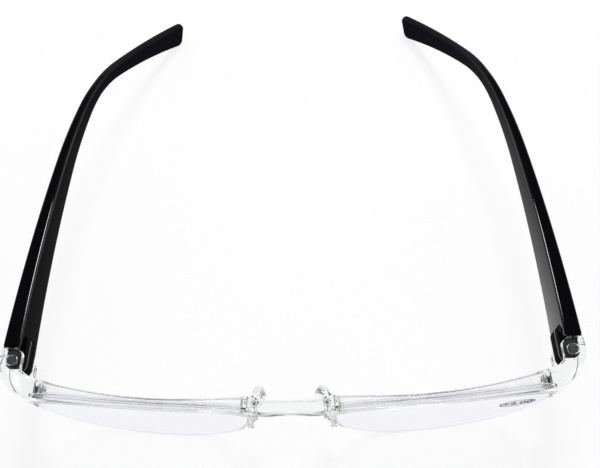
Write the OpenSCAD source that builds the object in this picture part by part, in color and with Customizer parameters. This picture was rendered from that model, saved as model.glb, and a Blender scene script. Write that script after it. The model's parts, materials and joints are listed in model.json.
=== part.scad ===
// Reading glasses with a clear half-rim front, two lenses and black folding temples.
// The front looks towards -Y, the temples run towards +Y, and the glasses stand on z = 0.
// X = 0 is the plane of symmetry, and left is the -X side, as seen from the front.

/* [Front] */
// Overall width over the two end pieces
front_w = 137.8; // [130:0.2:150]
// Front-to-back thickness of the brow bar
brow_t = 2.9; // [2.4:0.1:4]
// Width of the rim round the upper lens, seen from the front
rim_w = 2.5; // [1.8:0.1:4]
// How far the brow's straight part reaches down over the lens's outer corner
brow_fill = 3.0; // [2:0.1:5]
// Radius of the front's wrap, at the back of the bridge
wrap_r = 440; // [300:5:600]
// Distance from the temple joint line forward to the back of the bridge
front_reach = 13.6; // [12:0.1:18]
// Radius of the back of the brow over one lens
back_r = 124; // [110:1:160]
// Distance from the middle to where the back of the brow reaches furthest forward
back_mid = 23.2; // [21:0.1:26]
// How far the back of the brow lies in front of the wrap there
back_in = 0.25; // [0:0.05:0.4]
// Outer corner radius of an end piece, seen from above
corner_r = 10.5; // [8:0.1:12]
// Fillet where an end piece meets the back of the brow
inner_fillet_r = 1.4; // [0.6:0.1:2]
// Height at which the rim ends at the lens's outer corner, over the bottom of the end piece
rim_end_up = 0.5; // [0:0.1:1]

/* [Lenses] */
// Lens width
lens_w = 51.2; // [46:0.2:53]
// Distance between the two lenses
lens_gap = 20.4; // [19:0.2:24]
// Lens height above its widest level
lens_up_h = 7.3; // [6:0.1:9]
// Lens height below its widest level
lens_low_h = 20.3; // [15:0.1:23]
// Distance from the nose side of the lens to its lowest point
lens_low_in = 22.5; // [18:0.1:26]
// Lens thickness at the edge
lens_t = 2.0; // [1.8:0.1:2.4]
// Depth of the flat on which a lens stands
lens_flat = 0.12; // [0.05:0.01:0.3]
// Width of the groove in the lens edge
groove_w = 0.7; // [0.5:0.05:0.9]
// Depth of the groove in the lens edge
groove_d = 0.5; // [0.3:0.05:0.7]
// Thickness of the lens cord
cord_t = 0.5; // [0.3:0.05:0.6]
// Depth of the liner's channel in the brow
channel_d = 0.8; // [0.6:0.1:1.2]

/* [Bridge and nose pads] */
// Height of the bridge, seen from the front
bridge_h = 4.2; // [3:0.1:6]
// How far the bridge lies under the top of the brow
bridge_dip = 1.2; // [0.6:0.1:2]
// Radius of the nose arch
arch_r = 9.4; // [8:0.1:11]
// How far the nose arch rises into the bridge
arch_rise = 1.1; // [0.5:0.1:1.8]
// How far the nose arms reach down below the hinge level
arm_reach = 11.6; // [9:0.1:14]
// Nose pad height
pad_h = 9.6; // [8:0.1:14]
// Nose pad depth, front to back
pad_d = 3.2; // [2.8:0.1:6]
// Nose pad thickness
pad_t = 2.4; // [1.8:0.1:3]
// Splay of a nose pad, seen from above
pad_splay = 24; // [10:1:35]
// Slant of a nose pad, seen from the front
pad_slant = 13; // [5:1:20]
// Radius of a nose pad's stem
stem_r = 0.6; // [0.4:0.05:0.8]
// Depth of the stem in the nose arm
stem_l = 1.0; // [0.6:0.1:1.1]
// Height of the stem over the lens's widest level
stem_up = 0.4; // [0:0.1:3]
// How far the middle of a nose pad lies inward of its stem
pad_in = 0.9; // [0.5:0.1:1.5]

/* [Hinges] */
// Height of an end piece
end_h = 10; // [9:0.1:11]
// Thickness of an end piece, inside to outside
end_t = 5.3; // [5:0.1:6.4]
// Distance from the outer face of an end piece to the hinge axis
axis_in = 3.1; // [2.9:0.1:3.5]
// Distance from the temple joint line to the hinge axis
axis_back = 3.2; // [2.8:0.1:3.8]
// Width of the temple's hinge tongue
tongue_w = 4.0; // [3.6:0.1:4.4]
// Thickness of the end piece's plates, over and under the tongue
plate_t = 1.75; // [1.7:0.05:2.4]
// Length of the tongue's raised root behind the joint line
root_l = 2.6; // [1.5:0.1:4]
// Length of the bevel at the end of that root
root_bevel = 2.4; // [1.5:0.1:4]
// Radius of the hinge screw's shank
screw_r = 0.7; // [0.5:0.05:0.8]
// Radius of the hinge screw's head
head_r = 1.3; // [1.1:0.05:1.6]
// Height of the hinge screw's head
head_h = 0.9; // [0.6:0.1:1.2]
// Depth of the screw's head under the top of the end piece
head_sink = 0.15; // [0.1:0.05:0.4]
// Width of the screwdriver slot
slot_w = 0.4; // [0.3:0.05:0.6]
// Depth of the screwdriver slot
slot_d = 0.4; // [0.2:0.05:0.6]
// Wall of the hinge bush
bush_wall = 0.4; // [0.3:0.05:0.5]
// Hinge nut, across its corners
nut_w = 2.8; // [2.4:0.1:3.2]
// Height of the hinge nut
nut_h = 1.2; // [0.9:0.1:1.3]

/* [Temples] */
// Length of a temple along its curve
temple_l = 138; // [125:1:150]
// Thickness of a temple at the hinge
temple_root_t = 4.2; // [3.8:0.1:4.6]
// Thickness of a temple from its middle on
temple_mid_t = 2.3; // [2:0.1:3]
// Height of a temple at the bend
temple_bend_h = 4.3; // [3.6:0.1:6]
// Height of a temple at the tip
temple_tip_h = 8.6; // [6:0.1:10]
// How late the tip flares: 1 widens evenly, more widens near the end
flare = 1.6; // [1:0.1:2.5]
// Share of the length over which a temple tapers
taper_end = 0.62; // [0.5:0.01:0.7]
// Distance from the hinge end to the bend behind the ear
bend_at = 76; // [70:1:90]
// Radius of the bend, seen from the side
bend_r = 50; // [30:1:70]
// Drop of the tip, in degrees
drop = 25.6; // [20:0.2:30]
// Radius of the temple's bow, seen from above
bow_r = 640; // [500:10:900]
// Where the tighter bow of the tip starts
hook_at = 56; // [40:1:80]
// Radius of the tip's bow, seen from above
hook_r = 176; // [140:2:220]
// Step from the end piece's outer face in to the temple's
temple_set_in = 0.2; // [0.1:0.1:0.8]
// Radius of the round end of the tip
tip_r = 2.4; // [1.5:0.1:3.5]
// Radius of the core wire
core_r = 0.55; // [0.4:0.05:0.6]
// Bare length of temple past the end of the core wire
core_stop = 9; // [6:1:14]

/* [Strength label] */
// Width of the oval label
label_w = 9.2; // [7:0.1:11]
// Height of the oval label
label_h = 5.4; // [4:0.1:7]
// Thickness of the label
label_t = 0.12; // [0.08:0.01:0.2]
// Distance from the outer edge of the lens in to the label's centre
label_in = 7.3; // [7:0.1:14]
// Distance from the lens's widest level up to the label's centre
label_up = -1.2; // [-2:0.1:3]

/* [Clearances] */
// Gap between parts that lie against each other
seat = 0.04; // [0.02:0.01:0.06]
// Radial running gap of the hinge screw in the bush
run_gap = 0.05; // [0.02:0.01:0.08]
// Gap on each side of the hinge tongue
tongue_gap = 0.08; // [0.05:0.01:0.12]
// Gap between an end piece and its temple when open
joint_gap = 0.15; // [0.1:0.01:0.3]

/* [Hidden] */
$fn = 64;
CLEAR = [0.86, 0.88, 0.90, 0.45];
LENS = [0.85, 0.85, 0.93, 0.40];
BLACK = [0.05, 0.05, 0.06];
STEEL = [0.75, 0.76, 0.78];
// Longer than any cut needs
far = 200;
// How far a cut starts outside the surface that it opens
past = 1;

// Points of an arc in the plane, from angle a0 to a1
function arc(c, r, a0, a1, n = 12) =
    [for (i = [0:n]) c + r * [cos(a0 + (a1 - a0) * i / n), sin(a0 + (a1 - a0) * i / n)]];
function signed_pow(v, p) = sign(v) * pow(abs(v), p);

// The lens outline: four quarter superellipses that share one centre
top_z = end_h / 2;
lens_top = top_z - rim_w;
lens_mid_z = lens_top - lens_up_h;
lens_mid_x = lens_gap / 2 + lens_low_in;
lens_out_w = lens_w - lens_low_in;
lens_bottom = lens_mid_z - lens_low_h + lens_flat;
top_power = 4;
low_out_power = 2;
low_in_power = 2.1;
lens_steps = 72;
function lens_power(c, s) = s > 0 ? top_power : c > 0 ? low_out_power : low_in_power;
function lens_point(a, out) =
    let (c = cos(a), s = sin(a), p = 2 / lens_power(c, s),
         w = (c > 0 ? lens_out_w : lens_low_in) + out,
         h = (s > 0 ? lens_up_h : lens_low_h) + out)
    [lens_mid_x + w * signed_pow(c, p), max(lens_mid_z + h * signed_pow(s, p), lens_bottom - out)];

// The plan of the front: wrap arcs about one centre, and a corner arc inside the outer one
wrap_c = [0, wrap_r - front_reach];
outer_r = wrap_r + brow_t;
corner_x = front_w / 2 - corner_r;
corner_c = [corner_x, wrap_c.y - sqrt(pow(outer_r - corner_r, 2) - pow(corner_x, 2))];
corner_a = asin(corner_x / (outer_r - corner_r)) - 90;
end_in_x = front_w / 2 - end_t;
fillet_x = end_in_x - inner_fillet_r;
bridge_x = arch_r / 2;
function wrap_y(x, r) = wrap_c.y - sqrt(r * r - x * x);
function back_y(x) = wrap_y(back_mid, wrap_r) - back_in + back_r - sqrt(pow(back_r, 2) - pow(x - back_mid, 2));
fillet_c = [fillet_x, back_y(fillet_x) + inner_fillet_r];
axis = [front_w / 2 - axis_in, -axis_back];
// The end piece's corner round the hinge, in line with the axis so that a folding temple clears it
hinge_corner_r = end_t - axis_in;
lens_mid_r = wrap_r + brow_t / 2;
end_low = -end_h / 2;
rim_end_z = end_low + rim_end_up;
head_z = top_z - head_h - head_sink;
tongue_h = end_h - 2 * (plate_t + tongue_gap);

// The temple's centre line, by short straight steps from the joint line
temple_x = front_w / 2 - temple_set_in - temple_root_t / 2;
steps = 44;
step_l = (temple_l - tip_r) / steps;
tip_steps = 5;
function heading(s) = (min(s, hook_at) / bow_r + max(0, s - hook_at) / hook_r) * 180 / PI;
function dip(s) = s < bend_at ? 0 : min(drop, (s - bend_at) / bend_r * 180 / PI);
function ahead(s) = [-sin(heading(s)) * cos(dip(s)), cos(heading(s)) * cos(dip(s)), -sin(dip(s))];
function inwards(s) = [-cos(heading(s)), -sin(heading(s)), 0];
function upwards(s) = [-sin(heading(s)) * sin(dip(s)), cos(heading(s)) * sin(dip(s)), cos(dip(s))];
spine = [for (i = 0, p = [temple_x, 0, 0]; i <= steps; p = p + step_l * ahead((i + 0.5) * step_l), i = i + 1) p];
tip_start = spine[steps];
function temple_t(s) = temple_root_t + (temple_mid_t - temple_root_t) * min(1, s / (taper_end * temple_l));
taper_l = taper_end * temple_l;
function temple_h(s) = s < taper_l ? end_h + (temple_bend_h - end_h) * s / taper_l
    : temple_bend_h + (temple_tip_h - temple_bend_h) * pow((s - taper_l) / (temple_l - taper_l), flare);
tip_s = temple_l - tip_r;
tip_flat = temple_h(tip_s) / 2 - tip_r;
tip_low = tip_start.z - tip_r - tip_flat * cos(drop);
tip_back = tip_start.y + cos(heading(tip_s)) * (tip_r + tip_flat * sin(drop));

// The place of the whole object: standing on z = 0, centred on the origin
rest_z = min(lens_bottom, tip_low);
front_y = wrap_y(0, outer_r);
place = [0, -(front_y + tip_back) / 2, -rest_z];

module placed(side = 1) {
    translate(place) mirror([side < 0 ? 1 : 0, 0, 0]) children();
}

// A shape drawn in x and z, carried along y
module along_y(y0 = -far / 4, y1 = far / 4) {
    translate([0, y1, 0]) rotate([90, 0, 0]) linear_extrude(y1 - y0) children();
}

// An upright shell about the wrap centre
module wrap_shell(r0, r1) {
    translate([wrap_c.x, wrap_c.y, 0]) difference() {
        cylinder(r = r1, h = far, center = true, $fn = 360);
        cylinder(r = r0, h = far + past, center = true, $fn = 360);
    }
}

module lens_outline(out = 0) {
    polygon([for (i = [0:lens_steps - 1]) lens_point(360 * i / lens_steps, out)]);
}

// The part of the lens's surroundings that the frame holds, from its lower ends up
module held_region(gap = 0) {
    translate([0, -arm_reach + gap]) square([lens_mid_x, far]);
    translate([lens_mid_x, rim_end_z + gap]) square([far, far]);
}

module plan_half() {
    polygon(concat(
        arc(wrap_c, outer_r, -90, corner_a, 16),
        arc(corner_c, corner_r, corner_a, 0, 14),
        [[front_w / 2, -joint_gap]],
        arc([end_in_x + hinge_corner_r, -joint_gap - hinge_corner_r], hinge_corner_r, 90, 180, 8),
        arc(fillet_c, inner_fillet_r, 0, -90, 6),
        [for (i = [1:16]) let (x = fillet_x + (lens_gap / 2 - fillet_x) * i / 16) [x, back_y(x)]],
        [[bridge_x, wrap_y(bridge_x, wrap_r)], [0, wrap_y(0, wrap_r)]]
    ));
}

arch_z = top_z - bridge_dip - bridge_h - arch_r + arch_rise;
module front_outline_half() {
    difference() {
        union() {
            intersection() {
                lens_outline(rim_w);
                held_region();
            }
            translate([0, top_z - bridge_dip - bridge_h]) square([lens_gap / 2 + past, bridge_h]);
            translate([lens_gap / 2 + lens_w - rim_w, end_low]) square([far / 4, end_h]);
            translate([lens_mid_x, lens_top - brow_fill]) square([far / 4, rim_w + brow_fill]);
        }
        translate([0, arch_z]) circle(r = arch_r);
        translate([0, arch_z - far]) square([arch_r, far]);
    }
}

pad_x = lens_gap / 2 - rim_w / 2;
pad_y = back_y(lens_gap / 2);
pad_z = lens_mid_z + stem_up;

module tongue_slot() {
    slot_r = tongue_w / 2 + tongue_gap;
    height = tongue_h + 2 * tongue_gap;
    translate([axis.x, axis.y, 0]) {
        cylinder(r = slot_r, h = height, center = true);
        translate([-far / 8, -slot_r, -height / 2]) cube([far / 8, far / 8, height]);
        translate([-slot_r, 0, -height / 2]) cube([2 * slot_r, far / 8, height]);
    }
}

module hinge_holes() {
    translate([axis.x, axis.y, 0]) {
        cylinder(r = screw_r + run_gap, h = far / 4, center = true);
        translate([0, 0, head_z]) cylinder(r = head_r + run_gap, h = far / 8);
        translate([0, 0, end_low - past]) cylinder(d = nut_w + 2 * seat, h = nut_h + past + seat, $fn = 6);
    }
}

module front_half() {
    difference() {
        intersection() {
            translate([0, 0, -far / 2]) linear_extrude(far) plan_half();
            along_y() front_outline_half();
        }
        intersection() {
            wrap_shell(wrap_r - brow_t, outer_r + past);
            along_y() lens_outline(seat);
        }
        tongue_slot();
        hinge_holes();
        intersection() {
            wrap_shell(lens_mid_r - groove_w / 2, lens_mid_r + groove_w / 2);
            along_y() intersection() {
                lens_outline(channel_d + seat);
                held_region(-past);
            }
        }
        translate([pad_x, pad_y - stem_l - seat, pad_z]) rotate([-90, 0, 0])
            cylinder(r = stem_r + seat / 2, h = pad_d);
    }
}

module front_frame() {
    color(CLEAR) union() {
        placed(1) front_half();
        placed(-1) front_half();
    }
}

module lens(side) {
    color(LENS) placed(side) difference() {
        intersection() {
            wrap_shell(lens_mid_r - lens_t / 2, lens_mid_r + lens_t / 2);
            along_y() lens_outline();
        }
        intersection() {
            wrap_shell(lens_mid_r - groove_w / 2, lens_mid_r + groove_w / 2);
            along_y() difference() {
                lens_outline(past);
                lens_outline(-groove_d);
            }
        }
    }
}

module lens_liner(side) {
    half_w = groove_w / 2 - seat;
    color(CLEAR) placed(side) intersection() {
        wrap_shell(lens_mid_r - half_w, lens_mid_r + half_w);
        along_y() intersection() {
            difference() {
                lens_outline(channel_d);
                lens_outline(seat - groove_d);
            }
            held_region(seat);
        }
    }
}

module lens_cord(side) {
    color(CLEAR) placed(side) intersection() {
        wrap_shell(lens_mid_r - cord_t / 2, lens_mid_r + cord_t / 2);
        along_y() difference() {
            lens_outline(-seat);
            lens_outline(seat - groove_d);
            held_region(-seat);
        }
    }
}

module nose_pad(side) {
    color(CLEAR) placed(side) {
        translate([pad_x, pad_y - stem_l, pad_z]) rotate([-90, 0, 0]) cylinder(r = stem_r, h = stem_l + pad_d / 2);
        difference() {
            translate([pad_x - pad_in, pad_y + pad_d / 2, pad_z]) rotate([0, -pad_slant, -pad_splay]) rotate([0, 90, 0])
                linear_extrude(pad_t, center = true) {
                    square([pad_h - pad_d, pad_d], center = true);
                    for (end = [-1, 1]) translate([end * (pad_h - pad_d) / 2, 0]) circle(d = pad_d);
                }
            translate([-far / 2, pad_y - far + seat, -far / 2]) cube([far, far, far]);
        }
    }
}

// A ring of the temple's section: a superellipse across the spine
wire_steps = 10;
section_steps = 2 * wire_steps;
root_power = 4.5;
tip_power = 3;
function section(p, s, t, h) = [for (k = [0:section_steps - 1])
    let (a = 360 * (k + 0.5) / section_steps, q = 2 / (root_power + (tip_power - root_power) * s / temple_l))
    p + inwards(s) * t / 2 * signed_pow(cos(a), q) + upwards(s) * h / 2 * signed_pow(sin(a), q)];
function round_section(p, s, r) = [for (k = [0:wire_steps - 1])
    let (a = 360 * (k + 0.5) / wire_steps) p + inwards(s) * r * cos(a) + upwards(s) * r * sin(a)];
// Quads between two rings of n points, and the fan that closes a ring
function belt(base, n, rings, flip) = [for (j = [0:rings - 2]) for (k = [0:n - 1])
    let (a = base + j * n + k, b = base + j * n + (k + 1) % n)
    flip ? [a, b, b + n, a + n] : [a, a + n, b + n, b]];
function cap(base, n, flip) = [flip ? [for (k = [n - 1:-1:0]) base + k] : [for (k = [0:n - 1]) base + k]];

// The flat ring at the joint line, between the temple's outline and the bore of its core wire
function mouth_faces(first) = [for (k = [0:wire_steps - 1])
    let (a = 2 * k, b = 2 * k + 1, c = (2 * k + 2) % section_steps, d = first + k, e = first + (k + 1) % wire_steps)
    each [[a, b, d], [b, c, e, d]]];

wire_from = 2;
wire_to = floor((temple_l - core_stop) / step_l);

module temple_body() {
    body = [for (i = [0:steps]) section(spine[i], i * step_l, temple_t(i * step_l), temple_h(i * step_l))];
    tip = [for (i = [1:tip_steps]) let (a = 88 * i / tip_steps, p = tip_start + ahead(tip_s) * tip_r * sin(a))
        section(p, tip_s, temple_mid_t * pow(cos(a), 0.5), temple_h(tip_s) - 2 * tip_r * (1 - cos(a)))];
    rings = concat(body, tip);
    bore = [for (i = [0:wire_to]) round_section(spine[i], i * step_l, core_r + seat)];
    points = concat([for (r = rings) each r], [for (r = bore) each r]);
    first = len(rings) * section_steps;
    polyhedron(points, concat(
        belt(0, section_steps, len(rings), false),
        cap(first - section_steps, section_steps, true),
        mouth_faces(first),
        belt(first, wire_steps, len(bore), true),
        cap(first + (len(bore) - 1) * wire_steps, wire_steps, false)
    ));
}

bush_r = screw_r + run_gap + bush_wall;
tongue_in = axis.x - tongue_w / 2;
tongue_out = axis.x + tongue_w / 2;

// The tongue, with a raised root that is bevelled into the temple's inner face
module hinge_tongue() {
    translate([0, 0, -tongue_h / 2]) linear_extrude(tongue_h) {
        translate(axis) circle(d = tongue_w);
        polygon([[tongue_in, axis.y], [tongue_out, axis.y], [tongue_out, root_l], [temple_x, root_l + root_bevel],
            [temple_x - temple_root_t / 4, root_l + root_bevel], [tongue_in, root_l]]);
    }
}

module temple(side) {
    color(BLACK) placed(side) difference() {
        union() {
            temple_body();
            hinge_tongue();
        }
        translate([axis.x, axis.y, 0]) cylinder(r = bush_r + seat / 2, h = end_h, center = true);
    }
}

module core_wire(side) {
    rings = [for (i = [wire_from:wire_to - 1]) round_section(spine[i], i * step_l, core_r)];
    n = len(rings);
    color(STEEL) placed(side) polyhedron([for (r = rings) each r], concat(
        belt(0, wire_steps, n, false),
        cap(0, wire_steps, false),
        cap((n - 1) * wire_steps, wire_steps, true)
    ));
}

module hinge_bush(side) {
    color(STEEL) placed(side) translate([axis.x, axis.y, 0]) difference() {
        cylinder(r = bush_r, h = tongue_h, center = true);
        cylinder(r = screw_r + run_gap, h = tongue_h + past, center = true);
    }
}

module hinge_screw(side) {
    color(STEEL) placed(side) translate([axis.x, axis.y, 0]) difference() {
        union() {
            translate([0, 0, end_low + seat]) cylinder(r = screw_r, h = head_z - end_low);
            translate([0, 0, head_z + seat]) cylinder(r = head_r, h = head_h);
        }
        translate([-slot_w / 2, -head_r - past, head_z + head_h - slot_d])
            cube([slot_w, 2 * (head_r + past), head_h]);
    }
}

module hinge_nut(side) {
    color(STEEL) placed(side) translate([axis.x, axis.y, end_low + seat]) difference() {
        cylinder(d = nut_w, h = nut_h - seat, $fn = 6);
        translate([0, 0, -past]) cylinder(r = screw_r + run_gap / 2, h = nut_h + 2 * past);
    }
}

label_c = [lens_mid_x + lens_out_w - label_in, lens_mid_z + label_up];
label_steps = 40;
module strength_label() {
    back_r = lens_mid_r + lens_t / 2 + seat / 4;
    color(CLEAR) placed(1) intersection() {
        wrap_shell(back_r, back_r + label_t);
        along_y() polygon([for (i = [0:label_steps - 1]) let (a = 360 * i / label_steps)
            label_c + [label_w / 2 * cos(a), label_h / 2 * sin(a)]]);
    }
}

front_frame();
lens(-1);  // lens_left
lens(1);  // lens_right
lens_liner(-1);  // lens_liner_left
lens_liner(1);  // lens_liner_right
lens_cord(-1);  // lens_cord_left
lens_cord(1);  // lens_cord_right
nose_pad(-1);  // nose_pad_left
nose_pad(1);  // nose_pad_right
temple(-1);  // temple_left
temple(1);  // temple_right
core_wire(-1);  // core_wire_left
core_wire(1);  // core_wire_right
hinge_bush(-1);  // hinge_bush_left
hinge_bush(1);  // hinge_bush_right
hinge_screw(-1);  // hinge_screw_left
hinge_screw(1);  // hinge_screw_right
hinge_nut(-1);  // hinge_nut_left
hinge_nut(1);  // hinge_nut_right
strength_label();
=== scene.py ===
"""Half-rim reading glasses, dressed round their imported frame.

The clear front, the tinted lenses on their nylon threads, the nose pads, the black temples and the
hinge hardware are each made by one operator, and so is the stage.
"""

import json
import math

import bmesh
import bpy
import numpy as np
from mathutils import Matrix, Vector


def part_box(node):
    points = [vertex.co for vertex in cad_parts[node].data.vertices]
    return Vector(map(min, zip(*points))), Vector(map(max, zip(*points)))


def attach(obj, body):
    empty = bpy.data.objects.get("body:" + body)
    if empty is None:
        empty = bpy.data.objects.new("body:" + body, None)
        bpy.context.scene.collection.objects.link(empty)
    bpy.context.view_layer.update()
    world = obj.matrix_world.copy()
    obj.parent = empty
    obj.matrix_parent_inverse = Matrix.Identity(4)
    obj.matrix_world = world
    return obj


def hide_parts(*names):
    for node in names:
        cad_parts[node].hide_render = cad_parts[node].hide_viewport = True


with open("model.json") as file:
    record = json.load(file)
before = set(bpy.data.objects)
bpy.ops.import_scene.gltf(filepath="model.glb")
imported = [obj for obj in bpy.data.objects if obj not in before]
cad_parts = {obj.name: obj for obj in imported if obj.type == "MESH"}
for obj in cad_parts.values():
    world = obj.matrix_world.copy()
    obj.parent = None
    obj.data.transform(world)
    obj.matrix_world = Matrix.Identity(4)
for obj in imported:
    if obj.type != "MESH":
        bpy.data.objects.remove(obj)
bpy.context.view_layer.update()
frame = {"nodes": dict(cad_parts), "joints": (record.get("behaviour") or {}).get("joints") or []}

bl_info = {
    "name": "Half-Rim Reading Glasses",
    "version": (1, 0, 0),
    "blender": (4, 5, 0),
    "location": "View3D > Sidebar > Glasses",
    "description": "Makes the pieces and finishes of a pair of half-rim reading glasses",
    "category": "Add Mesh",
}

MM = 0.001
SIDES = {"left": -1, "right": 1}
FRONT_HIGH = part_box("front_frame")[1]
LENS_LOW, LENS_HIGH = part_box("lens_right")
LABEL_LOW, LABEL_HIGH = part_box("strength_label")
BUSH_LOW, BUSH_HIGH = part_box("hinge_bush_right")
HINGE = next(Vector(j["pos_m"]) for j in frame["joints"] if j["child"] == "right_temple")
# Vertices closer than this are one vertex
MERGE = 2e-6
# Faces that meet at less than this are one flat face
FLAT_ANGLE = math.radians(0.5)
# Edges sharper than this are rounded or shaded as edges
EDGE_ANGLE = math.radians(34)
# Points round the edge of a lens
LENS_STEPS = 420
# How square the lens is above, and below on the outer side and on the nose side
SQUARE_ABOVE, SQUARE_OUTER, SQUARE_NOSE = 4.0, 2.0, 2.1
# Sines of the heights between which the room darkens
ROOM_FADE = 0.22, 0.62


def size(name, description, default):
    """A length in metres that the sidebar shows."""
    return bpy.props.FloatProperty(
        name=name, description=description, default=default, unit="LENGTH", subtype="DISTANCE", precision=5
    )


def turn(name, description, degrees):
    """An angle, given and shown in degrees."""
    return bpy.props.FloatProperty(
        name=name, description=description, default=math.radians(degrees), unit="ROTATION", subtype="ANGLE"
    )


def share(name, description, default, top=1.0):
    """A plain number from 0 to top."""
    return bpy.props.FloatProperty(name=name, description=description, default=default, min=0.0, max=top)


def tone(name, description, default):
    """A colour with no alpha."""
    return bpy.props.FloatVectorProperty(
        name=name, description=description, default=default, subtype="COLOR", size=3, min=0.0, max=1.0
    )


class FrontSettings(bpy.types.PropertyGroup):
    """The clear moulding and what is pushed into it."""

    edge: size("Edge", "Rounding of the moulding's edges", 0.22 * MM)
    pad_edge: size("Pad edge", "Rounding of a nose pad's edges", 0.62 * MM)
    colour: tone("Clear plastic", "Colour that a thick piece of the moulding takes", (0.975, 0.98, 0.985))
    pad_colour: tone("Pad", "Colour of the nose pads", (0.96, 0.965, 0.97))
    gloss: share("Roughness", "Roughness of the polished moulding", 0.012)
    ripple: share("Ripple", "Height of the moulding's slow ripple, as a bump strength", 0.3)


class LensSettings(bpy.types.PropertyGroup):
    """The lenses, the thread that holds them and the strength label."""

    thickness: size("Thickness", "Lens thickness at the edge", 2.0 * MM)
    wrap: size("Wrap radius", "Radius of the lens's middle surface, seen from above", 441.45 * MM)
    upper: size("Upper height", "Height of the lens above its widest level", 7.3 * MM)
    low_point: size("Low point", "Distance from the nose side to the lowest point", 22.5 * MM)
    flat: size("Flat", "Depth of the flat on which the lens stands", 0.12 * MM)
    groove_width: size("Groove width", "Width of the groove in the edge", 0.7 * MM)
    groove_depth: size("Groove depth", "Depth of the groove in the edge", 0.5 * MM)
    bevel: size("Bevel", "Width of the lens's edge bevel", 0.16 * MM)
    thread: size("Thread", "Radius of the nylon thread", 0.2 * MM)
    thread_in: size("Thread inset", "Distance from the lens edge in to the thread's middle", 0.25 * MM)
    colour: tone("Lens", "Colour of the lens", (0.925, 0.925, 0.965))
    nylon: tone("Nylon", "Colour of the nylon thread", (0.93, 0.93, 0.93))
    number: bpy.props.StringProperty(name="Number", description="Lens strength on the label", default="+2.00")
    ring: size("Label ring", "Width of the ring printed round the label", 0.2 * MM)
    digits: size("Digit height", "Size of the label's digits", 3.2 * MM)
    ring_at: share("Ring place", "Size of the printed ring as a share of the label's", 0.94)
    stroke: size("Stroke", "How much fatter than the font the digits are printed", 0.1 * MM)
    film_gap: size("Film gap", "Gap between the lens and the label's film", 0.01 * MM)
    film_thickness: size("Film thickness", "Thickness of the label's film", 0.08 * MM)
    ink_thickness: size("Ink thickness", "Thickness of the print", 0.02 * MM)
    film_clear: share("Film clearness", "Share of what lies behind the film that shows", 0.88)
    film: tone("Film", "Colour of the label's film", (0.74, 0.72, 0.75))
    ink: tone("Ink", "Colour of the print on the label", (0.045, 0.04, 0.045))


class TempleSettings(bpy.types.PropertyGroup):
    """A temple with its hinge tongue."""

    length: size("Length", "Length along the temple's curve", 137.9 * MM)
    set_in: size("Set in", "Step from the end piece's outer face in to the temple's", 0.2 * MM)
    thick_hinge: size("Hinge thickness", "Thickness at the hinge", 4.2 * MM)
    thick_mid: size("Middle thickness", "Thickness past the taper", 2.3 * MM)
    high_hinge: size("Hinge height", "Height at the hinge", 9.996 * MM)
    high_bend: size("Bend height", "Height where the taper ends", 4.3 * MM)
    high_tip: size("Tip height", "Height at the tip", 8.6 * MM)
    flare: share("Flare", "How late the tip flares: 1 widens evenly, more widens near the end", 1.6, 3.0)
    taper: share("Taper", "Share of the length over which the temple tapers", 0.62)
    bend_at: size("Bend place", "Distance from the hinge end to the bend", 76 * MM)
    bend_radius: size("Bend radius", "Radius of the bend, seen from the side", 50 * MM)
    drop: turn("Drop", "Drop of the tip", 25.6)
    bow: size("Bow radius", "Radius of the bow, seen from above", 640 * MM)
    hook_at: size("Hook place", "Where the tighter bow of the tip starts", 56 * MM)
    hook: size("Hook radius", "Radius of the tip's bow, seen from above", 176 * MM)
    tip_round: size("Tip round", "Radius of the round end of the tip", 2.4 * MM)
    tip_turn: turn("Tip turn", "How far the tip's rounding turns before it closes", 86)
    edge: size("Edge", "Rounding of the long edges at the hinge", 0.5 * MM)
    tip_edge: size("Tip edge", "Rounding of the long edges at the tip", 1.1 * MM)
    mouth: size("Mouth", "Rounding round the hinge end", 0.2 * MM)
    axis_back: size("Axis setback", "Distance from the joint line to the hinge axis", 3.2 * MM)
    tongue_width: size("Tongue width", "Width of the hinge tongue", 4.0 * MM)
    tongue_height: size("Tongue height", "Height of the hinge tongue", 6.34 * MM)
    tongue_edge: size("Tongue edge", "Rounding of the tongue's edges", 0.45 * MM)
    tongue_line: size("Tongue line", "Height of the polished line over the tongue's middle", 0.7 * MM)
    tongue_line_width: size("Tongue line width", "How far the polish fades beside the line", 0.5 * MM)
    root: size("Root", "Length of the tongue's raised root", 2.6 * MM)
    root_bevel: size("Root bevel", "Length of the bevel at the root's end", 2.4 * MM)
    colour: tone("Black", "Colour of the temples", (0.0022, 0.0020, 0.0030))
    tip_colour: tone("Tip black", "Colour of the satin tips", (0.0075, 0.0068, 0.0105))
    outer_gloss: share("Outer gloss", "Lacquer on the top and the outer face", 0.4)
    # The two inner values below, set per side, are painted sheen: a painted reflection on the right temple's
    # inner face near the hinge and painted shade on the left, for how the light falls on each side. The fade
    # after them is the painted sheen's fade.
    painted_sheen_left: share("Left inner gloss", "Lacquer on the left temple's inner face at the hinge", 0.0)
    painted_sheen_right: share("Right inner gloss", "Lacquer on the right temple's inner face at the hinge", 1.0)
    gloss_rest: share("Rest gloss", "Lacquer that the inner faces keep far from the hinge", 0.08)
    painted_sheen_fade: size("Gloss fade", "Length over which the inner face loses its lacquer", 30 * MM)
    steel: tone("Steel", "Colour of the hinge steel", (0.44, 0.45, 0.47))
    steel_edge: size("Steel edge", "Rounding of the hardware's edges", 0.14 * MM)


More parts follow.
